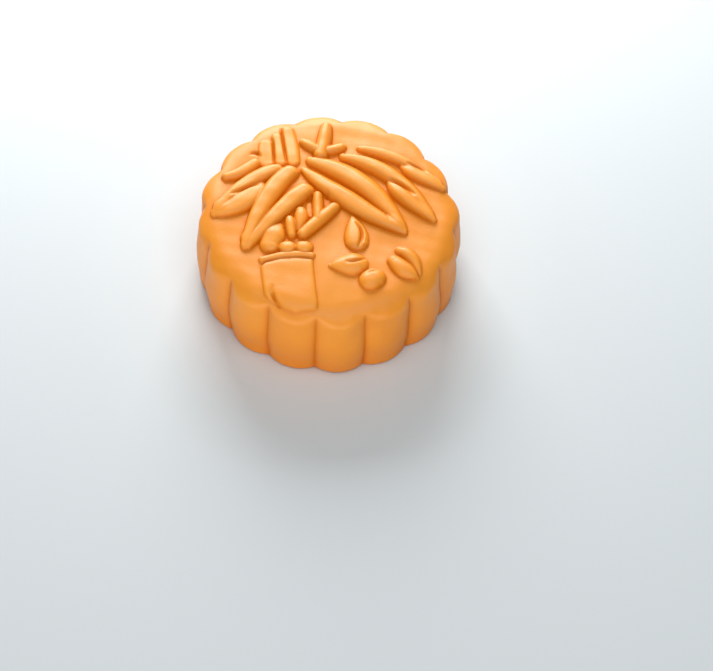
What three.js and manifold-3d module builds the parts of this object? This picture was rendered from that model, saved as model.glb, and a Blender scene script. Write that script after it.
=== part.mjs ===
// A round mooncake as it leaves its mould: a low cake with sixteen upright lobes and a softly domed top.
// Bamboo is pressed on it in relief: paired leaves, twigs, shoots, a jointed culm and loose petals.
// Millimetres, +Z up. The origin is the middle of the flat base, and the culm stands towards -Y.
import * as THREE from "three";
import { mergeVertices } from "three/addons/utils/BufferGeometryUtils.js";
import Module from "manifold-3d";

const wasm = await Module();
wasm.setup();

// The cake without its relief
const RIM_RADIUS = 40; // to the crown of a lobe, where the shoulder begins
const TOP_HEIGHT = 27.9; // where the shoulder meets the domed top
const DOME_RISE = 0.8;
const SHOULDER_DROP = 1.9; // at the back, where the shoulder is crispest
const SHOULDER_WIDTH = 5;
const FRONT_DROP = 5.4;
const FRONT_WIDTH = 7;
const SHOULDER_POWER = 2.1; // 2 is an ellipse, and more is squarer
const BELLY = 0.8; // how far the side swells at mid height
const BASE_TAPER = 0.5; // how much smaller the base is than the rim
const BASE_ROUNDING = 1.4;

// The lobes
const LOBES = 16;
const GROOVE_DEPTH = 1.9;
const FIRST_GROOVE = THREE.MathUtils.degToRad(85.8);
const GROOVE_FADE = 0.7; // how far below their start the grooves are full, at the back
const FRONT_FADE = 3.4; // and at the front
const FRONT_START = 1.6; // how much lower the grooves start at the front than at the back

// How finely the solid is divided
const STEPS_PER_LOBE = 6;
const ROUNDING_STEPS = 3;
const SIDE_STEPS = 4;
const SHOULDER_STEPS = 4;
const DOME_SHARE = 0.45; // the share of the radius where the domed top has its one ring of points
const ARCH_STEPS = 6; // across a ridge, from foot to foot
const PAD_STEPS = 8;
const SINK = 0.8; // how deep the relief reaches into the cake that carries it

const HALF_LOBE = Math.PI / LOBES;
const GROOVE_RADIUS = RIM_RADIUS - GROOVE_DEPTH;
const LOBE_CENTRE =
  (RIM_RADIUS ** 2 - GROOVE_RADIUS ** 2) / (2 * (RIM_RADIUS - GROOVE_RADIUS * Math.cos(HALF_LOBE)));
const LOBE_RADIUS = RIM_RADIUS - LOBE_CENTRE;

// The outline's radius at an angle: each lobe is one round arc from groove to groove.
function outline(angle) {
  const fromGroove = THREE.MathUtils.euclideanModulo(angle - FIRST_GROOVE, 2 * HALF_LOBE);
  const off = fromGroove - HALF_LOBE;
  return (
    LOBE_CENTRE * Math.cos(off) + Math.sqrt(LOBE_RADIUS ** 2 - (LOBE_CENTRE * Math.sin(off)) ** 2)
  );
}

// How far round a place is from the back, from 0 there to 1 at the front.
function frontness(angle) {
  return (1 - Math.sin(angle)) / 2;
}

// A size that changes evenly from its value at the back to its value at the front.
function towardsFront(back, front, angle) {
  return THREE.MathUtils.lerp(back, front, frontness(angle));
}

// The shoulder's width as a share of the rim's radius.
function shoulderShare(angle) {
  return towardsFront(SHOULDER_WIDTH, FRONT_WIDTH, angle) / RIM_RADIUS;
}

// The height of the bare top at a share of the outline's radius.
function topHeight(share, angle) {
  const drop = towardsFront(SHOULDER_DROP, FRONT_DROP, angle);
  const out = THREE.MathUtils.clamp((share - 1) / shoulderShare(angle) + 1, 0, 1);
  const fall = 1 - (1 - out ** SHOULDER_POWER) ** (1 / SHOULDER_POWER);
  return TOP_HEIGHT + DOME_RISE * (1 - share ** 2) - drop * fall;
}

function ground(x, y) {
  const angle = Math.atan2(y, x);
  const share = Math.hypot(x, y) / outline(angle);
  return topHeight(Math.min(1, share), angle);
}

// The outline's radius at a height: the grooves fade out where the shoulder turns into the top.
function grooved(angle, z) {
  const start = TOP_HEIGHT - FRONT_START * frontness(angle);
  const fade = towardsFront(GROOVE_FADE, FRONT_FADE, angle);
  const depth = THREE.MathUtils.clamp((start - z) / fade, 0, 1);
  const crown = RIM_RADIUS - GROOVE_DEPTH / 4;
  return THREE.MathUtils.lerp(crown, outline(angle), depth * (2 - depth));
}

// How far the side stands out from the rim at a share of its height.
function sideSwell(up) {
  return BELLY * Math.sin(Math.PI * up) ** 2 - BASE_TAPER * (1 - up) ** 2;
}

// A closed geometry as a solid that can be joined to others.
function solid(geometry) {
  geometry.deleteAttribute("normal");
  geometry.deleteAttribute("uv");
  const merged = mergeVertices(geometry);
  const corners = merged.index.array;
  const faces = [];
  for (let i = 0; i < corners.length; i += 3) {
    const [a, b, c] = corners.slice(i, i + 3);
    if (a !== b && b !== c && c !== a) faces.push(a, b, c);
  }
  const vertProperties = new Float32Array(merged.attributes.position.array);
  const triVerts = new Uint32Array(faces);
  return new wasm.Manifold(new wasm.Mesh({ numProp: 3, vertProperties, triVerts }));
}

// The solid's surface as a geometry for a mesh.
function skin(body) {
  const { vertProperties, triVerts } = body.getMesh();
  const geometry = new THREE.BufferGeometry();
  geometry.setAttribute("position", new THREE.BufferAttribute(vertProperties, 3));
  geometry.setIndex(new THREE.BufferAttribute(triVerts, 1));
  geometry.computeVertexNormals();
  return geometry;
}

// The side's and top's outline at an angle, from the middle of the base to the middle of the top.
function profile(angle) {
  const points = [new THREE.Vector2(0, 0)];
  const sideTop = topHeight(1, angle);
  const sidePoint = (z, inset) => {
    const swell = 1 + (sideSwell(z / sideTop) - inset) / RIM_RADIUS;
    points.push(new THREE.Vector2(grooved(angle, z) * swell, z));
  };
  for (let i = 0; i < ROUNDING_STEPS; i++) {
    const turn = (i / ROUNDING_STEPS) * (Math.PI / 2);
    sidePoint(BASE_ROUNDING * (1 - Math.cos(turn)), BASE_ROUNDING * (1 - Math.sin(turn)));
  }
  for (let i = 0; i <= SIDE_STEPS; i++) {
    sidePoint(THREE.MathUtils.lerp(BASE_ROUNDING, sideTop, i / SIDE_STEPS), 0);
  }
  const shoulder = shoulderShare(angle);
  const shares = [DOME_SHARE, 0];
  for (let i = SHOULDER_STEPS; i >= 1; i--) {
    shares.unshift(1 - shoulder * (1 - Math.cos((i / SHOULDER_STEPS) * (Math.PI / 2))));
  }
  for (const share of shares) {
    const z = topHeight(share, angle);
    points.push(new THREE.Vector2(share * grooved(angle, z), z));
  }
  return points;
}

// The bare cake: a lathe's surface, each of whose columns then takes its own angle's profile.
function bareCake() {
  const columns = LOBES * STEPS_PER_LOBE;
  const rings = profile(0).length;
  const cake = new THREE.LatheGeometry(profile(0), columns);
  const position = cake.attributes.position;
  for (let column = 0; column <= columns; column++) {
    const angle = FIRST_GROOVE + ((column % columns) / columns) * 2 * Math.PI;
    profile(angle).forEach(({ x: radius, y: z }, ring) => {
      const i = column * rings + ring;
      position.setXYZ(i, radius * Math.cos(angle), radius * Math.sin(angle), z);
    });
  }
  return cake;
}

// A point at t, from 0 to 1, of the bowed line that starts at root, passes middle and ends at tip.
function bow({ root, middle, tip }, t) {
  const at = (k) => {
    const pull = 2 * middle[k] - (root[k] + tip[k]) / 2;
    return (1 - t) ** 2 * root[k] + 2 * t * (1 - t) * pull + t ** 2 * tip[k];
  };
  return new THREE.Vector2(at(0), at(1));
}

// The direction of that line at t.
function heading(line, t) {
  const step = 0.01;
  return bow(line, t + step).sub(bow(line, t - step)).normalize();
}

// The share of a ridge's full width at t: it swells from its root to its fullest place and thins to its tip.
function fullness({ rootShare, tipShare, fullest }, t) {
  const towardsRoot = t < fullest;
  const least = towardsRoot ? rootShare : tipShare;
  const away = towardsRoot ? (fullest - t) / fullest : (t - fullest) / (1 - fullest);
  return least + (1 - least) * Math.cos((away * Math.PI) / 2) ** 0.8;
}

// The rings of a ridge, from the point of one round end to the point of the other.
function ridgeRings(shape) {
  const rings = [];
  for (const [end, way] of [[0, -1], [1, 1]]) {
    const full = fullness(shape, end);
    const reach = shape.halfWidth * full;
    for (let i = 1; i <= shape.endSteps; i++) {
      const turn = (i / shape.endSteps) * (Math.PI / 2);
      const beyond = way * reach * Math.sin(turn);
      rings.push({ t: end, beyond, size: full * Math.cos(turn), last: i === shape.endSteps });
    }
  }
  for (let i = 0; i <= shape.steps; i++) {
    const t = i / shape.steps;
    rings.push({ t, beyond: 0, size: fullness(shape, t), last: false });
  }
  return rings.sort((a, b) => a.t - b.t || a.beyond - b.beyond);
}

// A long rounded ridge: a sphere whose rings are drawn out along the bow, on a flat foot sunk in the cake.
function ridge(shape) {
  const rings = ridgeRings(shape);
  const sides = ARCH_STEPS + 3;
  const geometry = new THREE.SphereGeometry(1, sides, rings.length - 1);
  const position = geometry.attributes.position;
  for (let i = 0; i < position.count; i++) {
    const { t, beyond, size, last } = rings[Math.floor(i / (sides + 1))];
    const corner = (i % (sides + 1)) % sides;
    const arch = Math.min(1, corner / ARCH_STEPS) * Math.PI;
    const buried = corner > ARCH_STEPS;
    const side = (corner === sides - 1 ? 1 : Math.cos(arch)) * shape.halfWidth * size;
    const rise = buried ? -SINK : shape.rise * Math.sin(arch) * size ** 0.8;
    const along = heading(shape, t);
    const spot = bow(shape, t).addScaledVector(along, beyond);
    const x = spot.x + along.y * side;
    const y = spot.y - along.x * side;
    position.setXYZ(i, x, y, ground(x, y) + (last ? -SINK / 2 : rise));
  }
  return geometry;
}

// A low pad between two bowed edges, square in plan, with rounded borders.
function pad({ leftEdge, rightEdge, rise }) {
  const geometry = new THREE.BoxGeometry(2, 2, 2, PAD_STEPS, PAD_STEPS, 1);
  const position = geometry.attributes.position;
  const spread = (v) => Math.sin((v * Math.PI) / 2);
  for (let i = 0; i < position.count; i++) {
    const across = spread(position.getX(i));
    const along = spread(position.getY(i));
    const border = (1 - Math.abs(across) ** 6) * (1 - Math.abs(along) ** 6);
    const t = (1 - along) / 2;
    const { x, y } = bow(leftEdge, t).lerp(bow(rightEdge, t), (1 + across) / 2);
    position.setXYZ(i, x, y, ground(x, y) + (position.getZ(i) > 0 ? rise * Math.sqrt(border) : -SINK));
  }
  return geometry;
}

// How the kinds of ridge rise and taper. Shares are of the full width, and fullest is a place from 0 to 1.
const LEAF = { rise: 2.5, rootShare: 0.5, tipShare: 0.3, fullest: 0.4, steps: 8, endSteps: 2 };
const STUB_LEAF = { ...LEAF, rootShare: 0.9, tipShare: 0.4, fullest: 0.2 };
const LOW_LEAF = { ...LEAF, rise: 2, tipShare: 0.5 };
const WEB = { rise: 1.7, rootShare: 0.1, tipShare: 0.4, fullest: 0.6, steps: 3, endSteps: 2 };
const TWIG = { rise: 2.3, rootShare: 0.9, tipShare: 0.85, fullest: 0.5, steps: 4, endSteps: 3 };
const STROKE = { rise: 1, rootShare: 0.95, tipShare: 0.85, fullest: 0.4, steps: 3, endSteps: 2 };
const SHOOT = { rise: 2.1, rootShare: 0.8, tipShare: 0.55, fullest: 0.35, steps: 4, endSteps: 3 };
const PETAL = { rise: 2, rootShare: 0.5, tipShare: 0.5, fullest: 0.5, steps: 5, endSteps: 3 };
const DROP = { rise: 2, rootShare: 0.2, tipShare: 0.97, fullest: 0.9, steps: 5, endSteps: 4 };
const BUD = { rise: 1.8, rootShare: 1, tipShare: 1, fullest: 0.5, steps: 1, endSteps: 4 };

function line(root, middle, tip) {
  return { root, middle, tip };
}

function drawn(kind, root, middle, tip, halfWidth) {
  return { ...kind, ...line(root, middle, tip), halfWidth };
}

// The ridges, as root, middle and tip on the top, and half width.
const RIDGES = [
  // The pair of long leaves on the left, and the pair behind it with a curled bract
  drawn({ ...LEAF, rootShare: 0.8, tipShare: 0.45 }, [-12.2, 15.2], [-18.9, 5.2], [-25.1, -13.4], 3.4),
  drawn(STUB_LEAF, [-7.5, 8.3], [-14.8, 0.1], [-24.3, -13.5], 3.2),
  drawn({ ...LEAF, rootShare: 0.7, fullest: 0.3 }, [-16.4, 16.3], [-25.5, 10.5], [-35.3, -1.2], 2.9),
  drawn({ ...LEAF, rise: 2.2 }, [-21.4, 10.2], [-26.6, 3.3], [-35, -1.6], 4),
  drawn({ ...SHOOT, rootShare: 0.85, tipShare: 0.7 }, [-23.5, 18.6], [-27.5, 14.9], [-31.9, 12.9], 2.3),
  // The pair of long leaves on the right, and two more pairs behind it
  drawn(LEAF, [-6, 19.9], [9.6, 12], [22.8, -5], 4.1),
  drawn({ ...LEAF, rootShare: 0.4, fullest: 0.5 }, [-8, 16], [6.6, 4.6], [22.9, -6.1], 3.9),
  drawn(LEAF, [3.8, 22.2], [19, 15.1], [31.8, -0.8], 3.3),
  drawn(LEAF, [18.4, 12.1], [23.4, 6.5], [31.8, -1.1], 2.9),
  drawn(LOW_LEAF, [8.7, 25.9], [21, 22.2], [33.2, 13.8], 2.5),
  drawn(LOW_LEAF, [22.3, 19.2], [27.4, 16.1], [34.2, 12.2], 2.8),
  // Where the two leaves of each pair grow together
  drawn(WEB, [-22, -5.6], [-23.6, -9.8], [-24.8, -13.4], 2.9),
  drawn(WEB, [-30.4, 4.6], [-32.6, 1.8], [-34.6, -1], 2.6),
  drawn(WEB, [17.5, 0.8], [20.1, -2.4], [22.8, -5.5], 2.7),
  drawn(WEB, [26.1, 6], [28.7, 2.8], [31.4, -0.6], 2.5),
  drawn(WEB, [29.4, 16.7], [31.6, 15], [33.7, 13], 2.4),
  // The forked twig at the back, and the strokes left of it
  drawn({ ...TWIG, rootShare: 1, tipShare: 0.75 }, [-3.4, 22.6], [-2.5, 28.4], [-2, 34], 2.4),
  drawn({ ...TWIG, rise: 1.9 }, [-2, 24.2], [0.9, 25.2], [2.9, 26.3], 2),
  drawn({ ...TWIG, rise: 1.9 }, [-4, 24.2], [-6.4, 25.8], [-8.6, 27.3], 2.1),
  drawn({ ...STROKE, rise: 0.7 }, [-20, 19.6], [-20.1, 22.8], [-20.4, 26], 2.7),
  drawn(STROKE, [-15.6, 19.6], [-16.1, 24.2], [-17, 29], 2.3),
  drawn(STROKE, [-11.8, 19.6], [-12.6, 25.4], [-13.9, 32], 2.3),
  // The forked twig in the middle
  drawn(TWIG, [-7.8, -8.8], [-3.2, -3.4], [1.4, 1.9], 2.3),
  drawn({ ...TWIG, rise: 2.4, rootShare: 1 }, [-3.3, -3], [-3.6, 1.7], [-3.8, 6.2], 1.9),
  // The shoots that stand on the culm
  drawn({ ...PETAL, rootShare: 0.4, tipShare: 0.75 }, [-15, -5.9], [-16.6, -9.8], [-17.8, -13.2], 3.6),
  drawn({ ...SHOOT, tipShare: 0.8 }, [-12, -3.3], [-11.6, -6.3], [-11.2, -9.3], 1.85),
  drawn({ ...SHOOT, tipShare: 0.4 }, [-8.7, 0], [-8.6, -3.2], [-9.2, -7], 2.3),
  drawn({ ...STROKE, rise: 0.5 }, [-6.3, 2.6], [-6.1, 0.6], [-5.7, -1.4], 1),
  drawn(BUD, [-12.6, -14.2], [-12.3, -14.2], [-12, -14.2], 2.45),
  drawn(BUD, [-7.6, -14.1], [-7.3, -14.1], [-7, -14.1], 2.45),
  // The ring at the culm's joint
  drawn({ ...TWIG, rise: 1.2 }, [-19.7, -18.4], [-12.6, -16.6], [-4.9, -16.5], 1.4),
  // The loose leaves and petals on the right
  drawn(DROP, [7, -1.4], [8.1, -6.1], [8.6, -10.4], 3.9),
  drawn(DROP, [1, -20.1], [5, -19.4], [8.2, -18.9], 4.4),
  drawn({ ...BUD, rise: 2.2 }, [13.1, -25], [13.6, -24.5], [14.1, -24.1], 3.7),
  drawn({ ...PETAL, rootShare: 0.8, tipShare: 0.2 }, [20.4, -17.4], [23.2, -20.2], [27.2, -22.9], 3.2),
  drawn({ ...SHOOT, rise: 1.7, tipShare: 0.2 }, [22.1, -13.2], [25.5, -15.6], [28, -21.4], 2.5),
];

const CULM = {
  leftEdge: line([-20.4, -19.8], [-19.5, -26], [-18, -33.8]),
  rightEdge: line([-4.2, -17.6], [-3.4, -25], [-2.6, -36.8]),
  rise: 0.9,
};

function cakeWithRelief() {
  let cake = solid(bareCake()).add(solid(pad(CULM)));
  for (const shape of RIDGES) cake = cake.add(solid(ridge(shape)));
  return skin(cake);
}

const dough = new THREE.MeshStandardMaterial({ color: 0xf7a95c, roughness: 0.6, metalness: 0 });

const mooncake = new THREE.Mesh(cakeWithRelief(), dough);
mooncake.name = "mooncake";

const part = new THREE.Group();
part.add(mooncake);

export default part;
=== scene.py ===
"""The looks of a moulded mooncake: satin orange dough with a bamboo scene pressed on its domed top.

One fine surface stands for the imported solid. It is a grid of rings round the cake, shaped by the same
named sizes, with every leaf, twig, shoot and petal raised on it and the creases drawn in.
Sizes are millimetres until a mesh is made, and the mesh, camera and lights are in metres.
"""

import math

import bpy
import numpy as np
from mathutils import Matrix, Vector


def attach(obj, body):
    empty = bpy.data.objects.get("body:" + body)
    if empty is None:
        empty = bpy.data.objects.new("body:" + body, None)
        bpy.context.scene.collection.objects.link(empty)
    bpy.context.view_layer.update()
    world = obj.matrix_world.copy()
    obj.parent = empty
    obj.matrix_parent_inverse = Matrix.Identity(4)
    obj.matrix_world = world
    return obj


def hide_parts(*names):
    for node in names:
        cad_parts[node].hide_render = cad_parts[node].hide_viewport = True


MM = 0.001

# The cake without its relief
RIM_RADIUS = 40.0  # to the crown of a lobe, where the shoulder begins
TOP_HEIGHT = 27.9  # where the shoulder meets the domed top
DOME_RISE = 0.8
SHOULDER_DROP = 1.9  # at the back, where the shoulder is crispest
SHOULDER_WIDTH = 5.0
FRONT_DROP = 5.4
FRONT_WIDTH = 7.0
SHOULDER_POWER = 2.1  # 2 is an ellipse, and more is squarer
BELLY = 0.8  # how far the side swells at mid height
BASE_TAPER = 0.5  # how much smaller the base is than the rim
BASE_ROUNDING = 1.4

# The lobes
LOBES = 16
GROOVE_DEPTH = 1.9
FIRST_GROOVE = math.radians(85.8)
GROOVE_FADE = 0.7  # how far below their start the grooves are full, at the back
FRONT_FADE = 3.4  # and at the front
FRONT_START = 1.6  # how much lower the grooves start at the front than at the back
ROUND_INSET = 0.25  # how far inside the crowns the cake is round above the grooves, in groove depths

# How finely the surface is divided
STEPS_PER_LOBE = 48
TOP_RINGS = 136
SHOULDER_RINGS = 44
SIDE_RINGS = 26
ROUNDING_RINGS = 6
SPINE_STEPS = 16

# How ridges join each other and the cake
FOOT_SINK = 0.25  # the share of a ridge's rise that its section goes on below the top
RIDGE_JOIN = 0.15  # the width of the soft join between ridges
FOOT_JOIN = 0.2  # and between a ridge and the top
FAR_BELOW = -2.0  # the height that stands for no ridge at all
RIDGE_REACH = 1.8  # how many half widths from its spine's box a ridge is looked for
NEAREST = 0.01  # the least distance that is divided by

# How ridges taper
END_POWER = 0.8  # how bluntly the width falls away towards the ends
RISE_POWER = 0.7  # how the height follows the width
BACKWARDS = (0.6, 0.8)  # the direction in which flanks run out softly
RUN_OUT_POWER = 1.2  # how hollow that slope is

# The kinds of ridge. Shares are of the full width, and fullest is a place along the ridge, from 0 to 1.
# The power shapes the section: 2 is round, and more is flatter on top with steeper flanks.
# Back is how far the flank away from the front gives way to a slope that runs out softly, from 0 to 1.
# Join is the width of the soft join to other ridges, where it isn't RIDGE_JOIN.
LEAF = dict(rise=2.5, root_share=0.5, tip_share=0.3, fullest=0.4, power=3.5, back=0.8)
STUB_LEAF = dict(rise=2.5, root_share=0.9, tip_share=0.4, fullest=0.2, power=3.5, back=0.8)
LOW_LEAF = dict(rise=2.0, root_share=0.5, tip_share=0.5, fullest=0.4, power=3.5, back=1)
WEB = dict(rise=1.7, root_share=0.1, tip_share=0.4, fullest=0.6, power=3.5, back=0.8, join=0.8)
TWIG = dict(rise=2.3, root_share=0.9, tip_share=0.85, fullest=0.5, power=2.4, back=0.4)
STROKE = dict(rise=1, root_share=0.95, tip_share=0.85, fullest=0.4, power=5, back=0.4)
SHOOT = dict(rise=2.1, root_share=0.8, tip_share=0.55, fullest=0.35, power=2.6, back=0.3)
PETAL = dict(rise=2.0, root_share=0.5, tip_share=0.5, fullest=0.5, power=2.8, back=0.6)
DROP = dict(rise=2.0, root_share=0.2, tip_share=0.97, fullest=0.9, power=2.5, back=0.6)
BUD = dict(rise=1.8, root_share=1, tip_share=1, fullest=0.5, power=2.5, back=0.3)

# Each ridge's kind, the root, middle and tip of its bowed spine on the top, and its half width
RIDGES = [
    # The pair of long leaves on the left, and the pair behind it with a curled bract
    ({**LEAF, "root_share": 0.8, "tip_share": 0.45}, (-12.2, 15.2), (-18.9, 5.2), (-25.1, -13.4), 3.4),
    (STUB_LEAF, (-7.5, 8.3), (-14.8, 0.1), (-24.3, -13.5), 3.2),
    ({**LEAF, "root_share": 0.7, "fullest": 0.3}, (-16.4, 16.3), (-25.5, 10.5), (-35.3, -1.2), 2.9),
    ({**LEAF, "rise": 2.2}, (-21.4, 10.2), (-26.6, 3.3), (-35, -1.6), 4),
    ({**SHOOT, "root_share": 0.85, "tip_share": 0.7}, (-23.5, 18.6), (-27.5, 14.9), (-31.9, 12.9), 2.3),
    # The pair of long leaves on the right, and two more pairs behind it
    (LEAF, (-6, 19.9), (9.6, 12), (22.8, -5), 4.1),
    ({**LEAF, "root_share": 0.4, "fullest": 0.5}, (-8, 16), (6.6, 4.6), (22.9, -6.1), 3.9),
    (LEAF, (3.8, 22.2), (19, 15.1), (31.8, -0.8), 3.3),
    (LEAF, (18.4, 12.1), (23.4, 6.5), (31.8, -1.1), 2.9),
    (LOW_LEAF, (8.7, 25.9), (21, 22.2), (33.2, 13.8), 2.5),
    (LOW_LEAF, (22.3, 19.2), (27.4, 16.1), (34.2, 12.2), 2.8),
    # Where the two leaves of each pair grow together
    (WEB, (-22, -5.6), (-23.6, -9.8), (-24.8, -13.4), 2.9),
    (WEB, (-30.4, 4.6), (-32.6, 1.8), (-34.6, -1), 2.6),
    (WEB, (17.5, 0.8), (20.1, -2.4), (22.8, -5.5), 2.7),
    (WEB, (26.1, 6), (28.7, 2.8), (31.4, -0.6), 2.5),
    ({**WEB, "rise": 1.2}, (29.4, 16.7), (31.6, 15), (33.7, 13), 2.4),
    # The forked twig at the back, and the strokes left of it
    ({**TWIG, "root_share": 1, "tip_share": 0.75}, (-3.4, 22.6), (-2.5, 28.4), (-2, 34), 2.4),
    ({**TWIG, "rise": 1.9}, (-2, 24.2), (0.9, 25.2), (2.9, 26.3), 2),
    ({**TWIG, "rise": 1.9}, (-4, 24.2), (-6.4, 25.8), (-8.6, 27.3), 2.1),
    ({**STROKE, "rise": 0.7}, (-20, 19.6), (-20.1, 22.8), (-20.4, 26), 2.7),
    (STROKE, (-15.6, 19.6), (-16.1, 24.2), (-17, 29), 2.3),
    (STROKE, (-11.8, 19.6), (-12.6, 25.4), (-13.9, 32), 2.3),
    # The forked twig in the middle
    (TWIG, (-7.8, -8.8), (-3.2, -3.4), (1.4, 1.9), 2.3),
    ({**TWIG, "rise": 2.4, "root_share": 1}, (-3.3, -3), (-3.6, 1.7), (-3.8, 6.2), 1.9),
    # The shoots that stand on the culm
    ({**PETAL, "root_share": 0.4, "tip_share": 0.92}, (-15, -5.9), (-16.6, -9.5), (-17.6, -12.7), 3.6),
    ({**SHOOT, "tip_share": 0.8}, (-12, -3.3), (-11.6, -6.3), (-11.2, -9.3), 1.85),
    ({**SHOOT, "tip_share": 0.4}, (-8.7, 0), (-8.6, -3.2), (-9.2, -7), 2.3),
    ({**STROKE, "rise": 0.5}, (-6.3, 2.6), (-6.1, 0.6), (-5.7, -1.4), 1),
    (BUD, (-12.6, -13.9), (-12.3, -13.9), (-12, -13.9), 2.6),
    (BUD, (-7.6, -13.8), (-7.3, -13.8), (-7, -13.8), 2.6),
    # The ring at the culm's joint
    ({**TWIG, "rise": 1.2}, (-19.7, -18.4), (-12.6, -16.6), (-4.9, -16.5), 1.4),
    # The loose leaves and petals on the right
    (DROP, (7, -1.4), (8.1, -6.1), (8.6, -10.4), 3.9),
    (DROP, (1, -20.1), (5, -19.4), (8.2, -18.9), 4.4),
    ({**BUD, "rise": 2.2}, (13.1, -25), (13.6, -24.5), (14.1, -24.1), 3.7),
    ({**PETAL, "root_share": 0.8, "tip_share": 0.2}, (20.4, -17.4), (23.2, -20.2), (27.2, -22.9), 3.2),
    ({**SHOOT, "rise": 1.7, "tip_share": 0.2, "back": 1}, (22.1, -13.2), (25.5, -15.6), (28, -21.4), 2.5),
]

# The culm's flat face between its bowed edges, and the places along its top and bottom edges
CULM_LEFT = ((-20.4, -19.8), (-19.5, -26), (-18.2, -33.4))
CULM_RIGHT = ((-4.2, -17.8), (-3.4, -25), (-2.4, -37))
CULM_TOP = ((-20.2, -20.8), (-18.6, -19.4), (-14.4, -17.9), (-9.9, -17.4), (-4.7, -17.7))
CULM_BOTTOM = ((-18.5, -31.5), (-15.3, -33.9), (-12.2, -35.8), (-9.2, -37), (-3, -36))
CULM_RISE = 0.9
CULM_SIDE_POWER = 10  # how square the face's borders are at its sides
CULM_END_POWER = 12  # and at its top and bottom

# Creases pressed into the dough: root, middle and tip, half width and depth
CREASES = [
    # Between the strokes at the back
    ((-18.5, 28.6), (-18, 23.7), (-17.5, 17.8), 0.35, 1.4),
    ((-16.2, 33.6), (-15, 25.8), (-13.6, 17.8), 0.35, 1.4),
    # Round the bract's head
    ((-25.3, 22.2), (-23.2, 22.9), (-21.8, 20.4), 0.5, 0.8),
    # Between the leaves of the outer pairs
    ((-21.5, 9.9), (-26.3, 7.3), (-30.6, 4.7), 0.5, 0.9),
    ((17.4, 13.1), (21.8, 10.6), (26.2, 6.7), 0.5, 1.2),
    ((22.8, 20.2), (26.5, 18.8), (29.9, 16.8), 0.45, 1.1),
    # Hollows beside the middle twig
    ((-7, 5.6), (-6.5, 4.8), (-6.2, 4), 0.8, 0.5),
    ((-1.6, 5.8), (-1, 6.1), (-0.2, 6.2), 0.8, 0.4),
    # Between the halves of the loose leaves
    ((7.8, -3.6), (10, -8), (8.8, -13.8), 0.55, 1.3),
    ((5, -19.2), (8.6, -18.8), (11.7, -16.6), 0.5, 0.8),
    ((11.8, -23.4), (13.7, -22.4), (15.5, -21.6), 0.4, 0.5),
    # The culm's fold
    ((-16.2, -27.6), (-16.3, -31), (-14.9, -34), 0.9, 0.4),
    ((-16.1, -30.4), (-15.4, -32.8), (-13.4, -35), 0.5, 0.9),
]

# The gentle unevenness left by hands and oven
WAVES = ((26, 0.16), (12, 0.08), (5, 0.03))  # each wavelength and the height of its ripples
RIPPLES = 7  # of each wavelength
RANDOM_SEED = 8

# Painted shade in hollows, on flanks, in the side's grooves and at its foot, and a painted highlight on
# raised dough
HOLLOW_REACH = 0.7  # how far round a point its height is compared
SHADED_HOLLOW_DEPTH = 0.7  # how far below its surroundings a point gets full painted shade
FULL_SLOPE = 2.0  # the slope of the relief that counts as fully steep
FLANK_SHADE = 0.5  # how much painted shade such a flank gets
RAISED_HIGHLIGHT = 0.08  # how much painted highlight each millimetre of rise gives
DEPTH_STEP = 0.2  # the spacing of the places compared
GROOVE_SHADE = 0.8  # how much painted shade the side's grooves get
GROOVE_POWER = 5  # how closely that keeps to the bottom of a groove
BASE_SHADE = 0.6  # how much painted shade the side's foot gets
GROUND_SHARE = 0.15  # where bare dough sits on the painted shade's scale, from the lightest to the deepest colour

# Colours, as red, green, blue and opacity
DARKER_DOUGH = (0.88, 0.298, 0.018, 1)
LIGHTER_DOUGH = (0.91, 0.333, 0.025, 1)
# The colour of painted shade, mixed in by the depth attribute
PAINTED_SHADE_DOUGH = (0.6, 0.14, 0.001, 1)
PALE_FLOOR = (0.655, 0.705, 0.725, 1)

# The studio, in metres and watts: each soft light's name, place, width and height, and power
FLOOR_SIZE = 6.0
ROOM_BRIGHTNESS = 0.15
LIGHTS = [
    # Close behind the cake
    ("key_light", (-0.05, 0.36, 0.21), (0.27, 0.22), 2.4),
    # Wide, and high at the front
    ("room_light", (0.05, -0.8, 1.9), (2.0, 2.0), 28),
    # A low card that fills the sides
    ("low_card", (-0.12, -0.5, 0.016), (0.8, 0.03), 1.35),
]

# The photograph's camera, from a fit of the cake's outline
FRAME_WIDTH_PX = 713
FRAME_HEIGHT_PX = 671
RIM_CENTRE_PX = (329.5, 215.8)
RIM_RADIUS_PX = 131.2
RIM_CENTRE_HEIGHT = 27.5
CAMERA_ELEVATION = math.radians(51.9)
CAMERA_ROLL = math.radians(-2.2)
CAMERA_DISTANCE = 28.6 * RIM_RADIUS * MM
SENSOR_WIDTH = 36.0


def outline(angle):
    """The outline's radius at an angle: each lobe is one round arc from groove to groove."""
    half_lobe = math.pi / LOBES
    groove_radius = RIM_RADIUS - GROOVE_DEPTH
    centre = (RIM_RADIUS**2 - groove_radius**2) / (2 * (RIM_RADIUS - groove_radius * math.cos(half_lobe)))
    radius = RIM_RADIUS - centre
    off = np.mod(angle - FIRST_GROOVE, 2 * half_lobe) - half_lobe
    return centre * np.cos(off) + np.sqrt(radius**2 - (centre * np.sin(off)) ** 2)


def frontness(angle):
    """How far round a place is from the back, from 0 there to 1 at the front."""
    return (1 - np.sin(angle)) / 2


def towards_front(back, front, angle):
    """A size that changes evenly from its value at the back to its value at the front."""
    return back + (front - back) * frontness(angle)


def top_height(share, angle):
    """The height of the bare top at a share of the outline's radius."""
    width = towards_front(SHOULDER_WIDTH, FRONT_WIDTH, angle) / RIM_RADIUS
    drop = towards_front(SHOULDER_DROP, FRONT_DROP, angle)
    out = np.clip((share - 1) / width + 1, 0, 1)
    fall = 1 - (1 - out**SHOULDER_POWER) ** (1 / SHOULDER_POWER)
    return TOP_HEIGHT + DOME_RISE * (1 - share**2) - drop * fall


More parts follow.
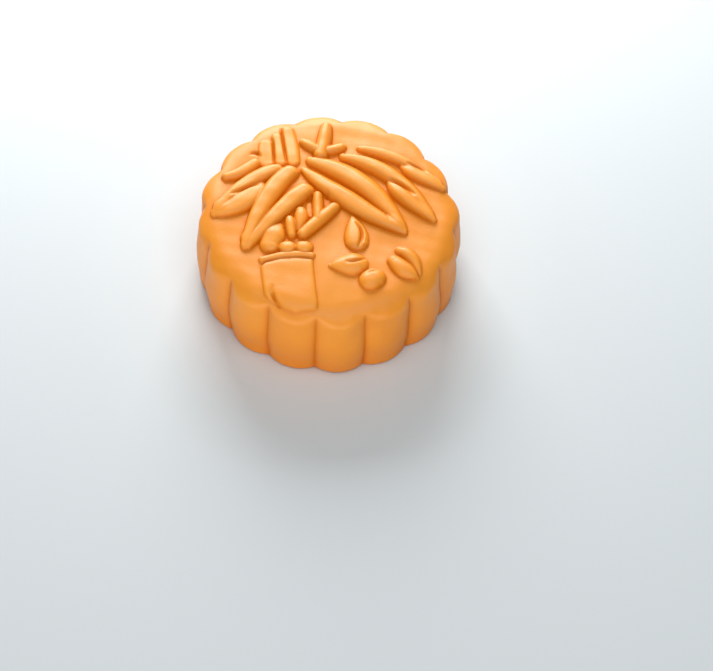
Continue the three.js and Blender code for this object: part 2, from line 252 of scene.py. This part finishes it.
def groove_share(z, angle):
    """How far the grooves have opened at a height: they fade out where the shoulder turns into the top."""
    start = TOP_HEIGHT - FRONT_START * frontness(angle)
    fade = towards_front(GROOVE_FADE, FRONT_FADE, angle)
    share = ((start - z) / fade).clip(0, 1)
    return share * (2 - share)


def grooved(rim, z, angle):
    """The outline's radius at a height: round above the grooves, and lobed where they are open."""
    round_radius = RIM_RADIUS - ROUND_INSET * GROOVE_DEPTH
    return round_radius + (rim - round_radius) * groove_share(z, angle)


def side_swell(up):
    """How far the side stands out from the rim at a share of its height."""
    return BELLY * np.sin(math.pi * up) ** 2 - BASE_TAPER * (1 - up) ** 2


def bow(root, middle, tip, t):
    """Points at t, from 0 to 1, of the bowed line that starts at root, passes middle and ends at tip."""
    root, middle, tip = (np.array(p, float) for p in (root, middle, tip))
    pull = 2 * middle - (root + tip) / 2
    t = np.asarray(t)[..., None]
    return (1 - t) ** 2 * root + 2 * t * (1 - t) * pull + t**2 * tip


def fullness(kind, t):
    """The share of a ridge's full width at t."""
    fullest = kind["fullest"]
    towards_root = t < fullest
    least = np.where(towards_root, kind["root_share"], kind["tip_share"])
    away = np.where(towards_root, (fullest - t) / fullest, (t - fullest) / (1 - fullest))
    return least + (1 - least) * np.cos(away * math.pi / 2).clip(0) ** END_POWER


def near_spine(x, y, root, middle, tip):
    """Each point's distance from the bowed spine, how far of that is backwards, and the nearest place t."""
    spine = bow(root, middle, tip, np.linspace(0, 1, SPINE_STEPS + 1))
    starts = spine[:-1]
    along = np.diff(spine, axis=0)
    dx = x[..., None] - starts[:, 0]
    dy = y[..., None] - starts[:, 1]
    f = ((dx * along[:, 0] + dy * along[:, 1]) / (along**2).sum(1)).clip(0, 1)
    off_x = dx - f * along[:, 0]
    off_y = dy - f * along[:, 1]
    back = off_x * BACKWARDS[0] + off_y * BACKWARDS[1]
    distance = np.hypot(off_x, off_y)
    t = (np.arange(SPINE_STEPS) + f) / SPINE_STEPS
    nearest = distance.argmin(-1)[..., None]
    return [np.take_along_axis(values, nearest, -1)[..., 0] for values in (distance, back, t)]


def soft_max(a, b, width):
    """The higher of two heights, rounded where they meet."""
    meet = np.clip(width - np.abs(a - b), 0, None) / width
    return np.maximum(a, b) + width * meet**2 / 4


def ridge_height(x, y, kind, root, middle, tip, half_width):
    """How high one ridge stands at each point, going on a little below zero at its foot."""
    distance, back, t = near_spine(x, y, root, middle, tip)
    size = fullness(kind, t)
    foot = (1 - (FOOT_SINK / (1 + FOOT_SINK)) ** 2) ** (1 / kind["power"])
    off = (distance / (half_width * size)) * foot
    section = np.sqrt((1 - off ** kind["power"]).clip(0))
    slope = np.cos(off.clip(0, 1) * math.pi / 2) ** RUN_OUT_POWER
    softened = kind["back"] * (back / np.maximum(distance, NEAREST)).clip(0, 1)
    section = (1 + FOOT_SINK) * (section + (slope - section) * softened) - FOOT_SINK
    return np.where(off < 1, kind["rise"] * size**RISE_POWER * section, FAR_BELOW)


def culm_height(x, y):
    """The culm's low flat face with rounded borders, going on below zero at its foot."""
    top, bottom = CULM_LEFT[0][1], CULM_LEFT[2][1]
    t = ((top - y) / (top - bottom)).clip(0, 1)
    left = bow(*CULM_LEFT, t)[..., 0]
    right = bow(*CULM_RIGHT, t)[..., 0]
    across = (2 * x - left - right) / (right - left)
    top_edge = np.interp(x, *zip(*CULM_TOP))
    bottom_edge = np.interp(x, *zip(*CULM_BOTTOM))
    up = (2 * y - top_edge - bottom_edge) / (top_edge - bottom_edge)
    between_sides = 1 - np.abs(across).clip(0, 1) ** CULM_SIDE_POWER
    between_ends = 1 - np.abs(up).clip(0, 1) ** CULM_END_POWER
    return CULM_RISE * ((1 + FOOT_SINK) * np.sqrt(between_sides * between_ends) - FOOT_SINK)


def relief(x, y):
    """The height of the whole relief above the bare top."""
    height = np.full_like(x, FAR_BELOW)
    for kind, root, middle, tip, half_width in RIDGES:
        spine = np.array([root, middle, tip])
        low = spine.min(0) - half_width * RIDGE_REACH
        high = spine.max(0) + half_width * RIDGE_REACH
        near = (x > low[0]) & (x < high[0]) & (y > low[1]) & (y < high[1])
        ridge = ridge_height(x[near], y[near], kind, root, middle, tip, half_width)
        height[near] = soft_max(height[near], ridge, kind.get("join", RIDGE_JOIN))
    height = soft_max(height, culm_height(x, y), RIDGE_JOIN)
    height = soft_max(height, np.zeros_like(height), FOOT_JOIN)
    for root, middle, tip, half_width, depth in CREASES:
        distance, _, t = near_spine(x, y, root, middle, tip)
        height = height - depth * 4 * t * (1 - t) * np.exp(-((distance / half_width) ** 2))
    return height


def unevenness(points):
    """Gentle waves, as a sum of random ripples of a few lengths."""
    random = np.random.default_rng(RANDOM_SEED)
    height = np.zeros(points.shape[:-1])
    for wavelength, amplitude in WAVES:
        for _ in range(RIPPLES):
            direction = random.normal(size=3)
            direction /= np.linalg.norm(direction)
            phase = random.uniform(0, 2 * math.pi)
            height += amplitude / 2 * np.sin(points @ direction * 2 * math.pi / wavelength + phase)
    return height


def bare_rings():
    """Rings of points on the cake without its relief, from the top's middle down to the base's edge."""
    columns = LOBES * STEPS_PER_LOBE
    angle = FIRST_GROOVE + np.arange(columns) * 2 * math.pi / columns
    rim = outline(angle)

    # The top and its shoulder
    bend = 1 - FRONT_WIDTH / RIM_RADIUS
    turn = np.linspace(0, math.pi / 2, SHOULDER_RINGS)
    inner = np.linspace(0, bend, TOP_RINGS, endpoint=False)
    share = np.concatenate([inner, bend + (1 - bend) * np.sin(turn)])[:, None]
    top_z = top_height(share, angle)
    top_radius = share * grooved(rim, top_z, angle)

    # The side, and the rounding at its foot
    side_top = top_z[-1]
    down = np.linspace(0, 1, SIDE_RINGS)[1:, None]
    turn = np.linspace(0, math.pi / 2, ROUNDING_RINGS + 1)[1:, None]
    side_z = side_top + (BASE_ROUNDING - side_top) * down
    round_z = BASE_ROUNDING * (1 - np.sin(turn)) + np.zeros(columns)
    lower_z = np.concatenate([side_z, round_z])
    cut = np.concatenate([np.zeros_like(down), BASE_ROUNDING * (1 - np.cos(turn))])
    swell = 1 + (side_swell(lower_z / side_top) - cut) / RIM_RADIUS
    lower_radius = grooved(rim, lower_z, angle) * swell

    radius = np.concatenate([top_radius, lower_radius])
    z = np.concatenate([top_z, lower_z])
    return np.stack([radius * np.cos(angle), radius * np.sin(angle), z], -1)


def surface_rings():
    """The same rings with the relief and the unevenness, which fades out at the base."""
    points = bare_rings()
    around = np.roll(points, -1, 1) - np.roll(points, 1, 1)
    outward = np.gradient(points, axis=0)
    normal = np.cross(outward, around)
    normal[0] = (0, 0, 1)
    normal /= np.linalg.norm(normal, axis=-1, keepdims=True)
    raised = np.zeros(points.shape[:2])
    top = slice(0, TOP_RINGS + SHOULDER_RINGS)
    raised[top] = relief(points[top, :, 0], points[top, :, 1])
    fade = np.clip(points[..., 2] / (2 * BASE_ROUNDING), 0, 1)
    return points + normal * (raised + fade * unevenness(points))[..., None]


def blurred(height):
    """A grid of heights, with each averaged with those round it."""
    along = np.fft.fftfreq(len(height), DEPTH_STEP)
    frequency = np.hypot(*np.meshgrid(along, along))
    blur = np.exp(-2 * (math.pi * HOLLOW_REACH * frequency) ** 2)
    return np.fft.ifft2(np.fft.fft2(height) * blur).real


def sampled(grid, x, y):
    """A grid's value at each point, mixed from the four places round it."""
    last = len(grid) - 1
    column = ((x + RIM_RADIUS) / DEPTH_STEP).clip(0, last)
    row = ((y + RIM_RADIUS) / DEPTH_STEP).clip(0, last)
    left = column.astype(int).clip(0, last - 1)
    low = row.astype(int).clip(0, last - 1)
    right, up = column - left, row - low
    lower = grid[low, left] * (1 - right) + grid[low, left + 1] * right
    upper = grid[low + 1, left] * (1 - right) + grid[low + 1, left + 1] * right
    return lower * (1 - up) + upper * up


def top_painted_shade(x, y):
    """How much painted shade the top has beyond bare dough: most in hollows and on flanks, with a painted
    highlight that lightens ridges.
    """
    line = np.linspace(-RIM_RADIUS, RIM_RADIUS, 2 * round(RIM_RADIUS / DEPTH_STEP) + 1)
    height = relief(*np.meshgrid(line, line))
    hollow = (blurred(height) - height) / SHADED_HOLLOW_DEPTH
    steepness = (np.hypot(*np.gradient(height, DEPTH_STEP)) / FULL_SLOPE).clip(0, 1)
    return sampled(hollow + FLANK_SHADE * steepness - RAISED_HIGHLIGHT * height, x, y)


def side_painted_shade(x, y, z):
    """The side's painted shade: most in the grooves, and more towards the foot."""
    angle = np.arctan2(y, x)
    inset = (RIM_RADIUS - outline(angle)) / GROOVE_DEPTH
    down = (1 - z / TOP_HEIGHT).clip(0, 1)
    return GROOVE_SHADE * inset**GROOVE_POWER * groove_share(z, angle) + BASE_SHADE * down**2


def painted_shade_amount(x, y, z):
    """How much painted shade the dough has at each point, from 0 for the lightest colour to 1, lessened by
    the painted highlight on raised dough.
    """
    faces_up = z > TOP_HEIGHT - FRONT_DROP
    painted_shade = top_painted_shade(x, y) * faces_up + side_painted_shade(x, y, z)
    return (GROUND_SHARE + (1 - GROUND_SHARE) * painted_shade).clip(0, 1)


def cake_faces(rings, columns):
    """Quads between the rings, and fans that join the first and last ring to the two points after them."""
    quads = []
    for ring in range(rings - 1):
        for column in range(columns):
            following = (column + 1) % columns
            a, b = ring * columns + column, ring * columns + following
            quads.append((a, a + columns, b + columns, b))
    top_point = rings * columns
    base_point = top_point + 1
    last = top_point - columns
    top_fan = [(top_point, i, (i + 1) % columns) for i in range(columns)]
    base_fan = [(base_point, last + (i + 1) % columns, last + i) for i in range(columns)]
    return quads + top_fan + base_fan


def add_object(name, data):
    """A new object in the scene."""
    added = bpy.data.objects.new(name, data)
    bpy.context.scene.collection.objects.link(added)
    return added


def make_cake():
    """The cake's fine surface as one closed mesh, with its painted shade and highlight at each point."""
    rings = surface_rings()
    middle = rings[0].mean(0)
    base = np.zeros(3)
    rings = rings[1:]
    points = np.concatenate([rings.reshape(-1, 3), [middle, base]])
    mesh = bpy.data.meshes.new("mooncake_dough")
    mesh.from_pydata((points * MM).tolist(), [], cake_faces(*rings.shape[:2]))
    mesh.polygons.foreach_set("use_smooth", [True] * len(mesh.polygons))
    # The depth attribute is painted shade in hollows, on flanks, in the side's grooves and towards its
    # foot, lessened as a painted highlight on raised ridges
    depth = mesh.attributes.new("depth", "FLOAT", "POINT")
    depth.data.foreach_set("value", painted_shade_amount(*points.T).tolist())
    mesh.update()
    return add_object("mooncake_dough", mesh)


def noise(tree, place, scale, detail):
    """A noise texture's value at each place."""
    texture = tree.nodes.new("ShaderNodeTexNoise")
    texture.inputs["Scale"].default_value = scale
    texture.inputs["Detail"].default_value = detail
    tree.links.new(place, texture.inputs["Vector"])
    return texture.outputs["Fac"]


def dough_colour(tree, place, depth):
    """Orange that drifts softly, with painted shade mixed in where the depth is more."""
    ramp = tree.nodes.new("ShaderNodeValToRGB")
    darker, lighter = ramp.color_ramp.elements
    darker.position = 0.3
    darker.color = DARKER_DOUGH
    lighter.position = 0.7
    lighter.color = LIGHTER_DOUGH
    tree.links.new(noise(tree, place, scale=60, detail=4), ramp.inputs["Fac"])
    paint_shade = tree.nodes.new("ShaderNodeMix")
    paint_shade.data_type = "RGBA"
    paint_shade.inputs["B"].default_value = PAINTED_SHADE_DOUGH
    tree.links.new(depth, paint_shade.inputs["Factor"])
    tree.links.new(ramp.outputs["Color"], paint_shade.inputs["A"])
    return paint_shade.outputs["Result"]


def dough_gloss(tree, depth):
    """A faint gloss that is duller where the depth is more."""
    dull = tree.nodes.new("ShaderNodeMapRange")
    dull.inputs["To Min"].default_value = 0.55
    dull.inputs["To Max"].default_value = 0.1
    tree.links.new(depth, dull.inputs["Value"])
    return dull.outputs["Result"]


def dough_grain(tree, place):
    """The fine grain of the dough's skin."""
    bump = tree.nodes.new("ShaderNodeBump")
    bump.inputs["Strength"].default_value = 0.15
    bump.inputs["Distance"].default_value = 0.0003
    tree.links.new(noise(tree, place, scale=900, detail=5), bump.inputs["Height"])
    return bump.outputs["Normal"]


def new_material(name):
    """A new material, its node tree and its shader."""
    material = bpy.data.materials.new(name)
    material.use_nodes = True
    tree = material.node_tree
    return material, tree, tree.nodes["Principled BSDF"]


def dough_material():
    """Satin orange dough, into which light passes a little way."""
    material, tree, shader = new_material("dough")
    shader.inputs["Roughness"].default_value = 0.46
    shader.inputs["Subsurface Weight"].default_value = 0.06
    shader.inputs["Subsurface Radius"].default_value = (1.0, 0.35, 0.1)
    shader.inputs["Subsurface Scale"].default_value = 0.0012
    place = tree.nodes.new("ShaderNodeTexCoord").outputs["Object"]
    # The depth attribute mixes in the painted shade and dulls the gloss
    attribute = tree.nodes.new("ShaderNodeAttribute")
    attribute.attribute_name = "depth"
    depth = attribute.outputs["Fac"]
    tree.links.new(dough_colour(tree, place, depth), shader.inputs["Base Color"])
    tree.links.new(dough_gloss(tree, depth), shader.inputs["Specular IOR Level"])
    tree.links.new(dough_grain(tree, place), shader.inputs["Normal"])
    return material


def floor_material():
    """A plain pale floor's dull paint."""
    material, _, shader = new_material("pale_floor")
    shader.inputs["Base Color"].default_value = PALE_FLOOR
    shader.inputs["Roughness"].default_value = 0.8
    return material


def make_floor():
    """A wide floor under the cake."""
    far = FLOOR_SIZE / 2
    mesh = bpy.data.meshes.new("floor")
    corners = [(-far, -far, 0), (far, -far, 0), (far, far, 0), (-far, far, 0)]
    mesh.from_pydata(corners, [], [(0, 1, 2, 3)])
    mesh.materials.append(floor_material())
    add_object("floor", mesh)


def make_light(name, place, size, power):
    """A soft studio light aimed at the cake."""
    light = bpy.data.lights.new(name, "AREA")
    light.shape = "RECTANGLE"
    light.size, light.size_y = size
    light.energy = power
    lamp = add_object(name, light)
    lamp.location = place
    aim = Vector((0, 0, TOP_HEIGHT * MM)) - lamp.location
    lamp.rotation_euler = aim.to_track_quat("-Z", "Y").to_euler()


def light_scene():
    """The studio's soft lights in a faintly bright white room."""
    for light in LIGHTS:
        make_light(*light)
    world = bpy.data.worlds.new("pale_room")
    world.use_nodes = True
    background = world.node_tree.nodes["Background"]
    background.inputs["Color"].default_value = (1, 1, 1, 1)
    background.inputs["Strength"].default_value = ROOM_BRIGHTNESS
    bpy.context.scene.world = world


def make_camera():
    """The photograph's view: the camera looks past the rim's middle, which lands on its own pixel."""
    focal_px = RIM_RADIUS_PX * CAMERA_DISTANCE / (RIM_RADIUS * MM)
    back = Vector((0, -math.cos(CAMERA_ELEVATION), math.sin(CAMERA_ELEVATION)))
    right = Vector((1, 0, 0))
    level = Matrix((right, back.cross(right), back)).transposed()
    rolled = level @ Matrix.Rotation(-CAMERA_ROLL, 3, "Z")
    off_axis = Vector((
        (RIM_CENTRE_PX[0] - FRAME_WIDTH_PX / 2) / focal_px,
        (FRAME_HEIGHT_PX / 2 - RIM_CENTRE_PX[1]) / focal_px,
        -1,
    ))
    swing = Vector((0, 0, -1)).rotation_difference(off_axis).to_matrix()
    data = bpy.data.cameras.new("camera")
    data.sensor_width = SENSOR_WIDTH
    data.lens = focal_px * SENSOR_WIDTH / FRAME_WIDTH_PX
    camera = add_object("camera", data)
    rim_centre = Vector((0, 0, RIM_CENTRE_HEIGHT * MM))
    turn = (rolled @ swing.transposed()).to_4x4()
    camera.matrix_world = Matrix.Translation(rim_centre + back * CAMERA_DISTANCE) @ turn
    bpy.context.scene.camera = camera


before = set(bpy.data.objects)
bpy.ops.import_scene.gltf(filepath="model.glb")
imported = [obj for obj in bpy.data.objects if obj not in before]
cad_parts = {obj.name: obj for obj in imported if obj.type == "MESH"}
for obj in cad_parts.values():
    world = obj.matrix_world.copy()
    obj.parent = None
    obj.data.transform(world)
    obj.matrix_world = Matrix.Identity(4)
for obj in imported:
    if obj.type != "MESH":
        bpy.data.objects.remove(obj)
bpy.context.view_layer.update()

make_camera()
cake = make_cake()
cake.data.materials.append(dough_material())
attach(cake, "root")
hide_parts("mooncake")
make_floor()
light_scene()
bpy.context.scene.view_settings.view_transform = "Standard"
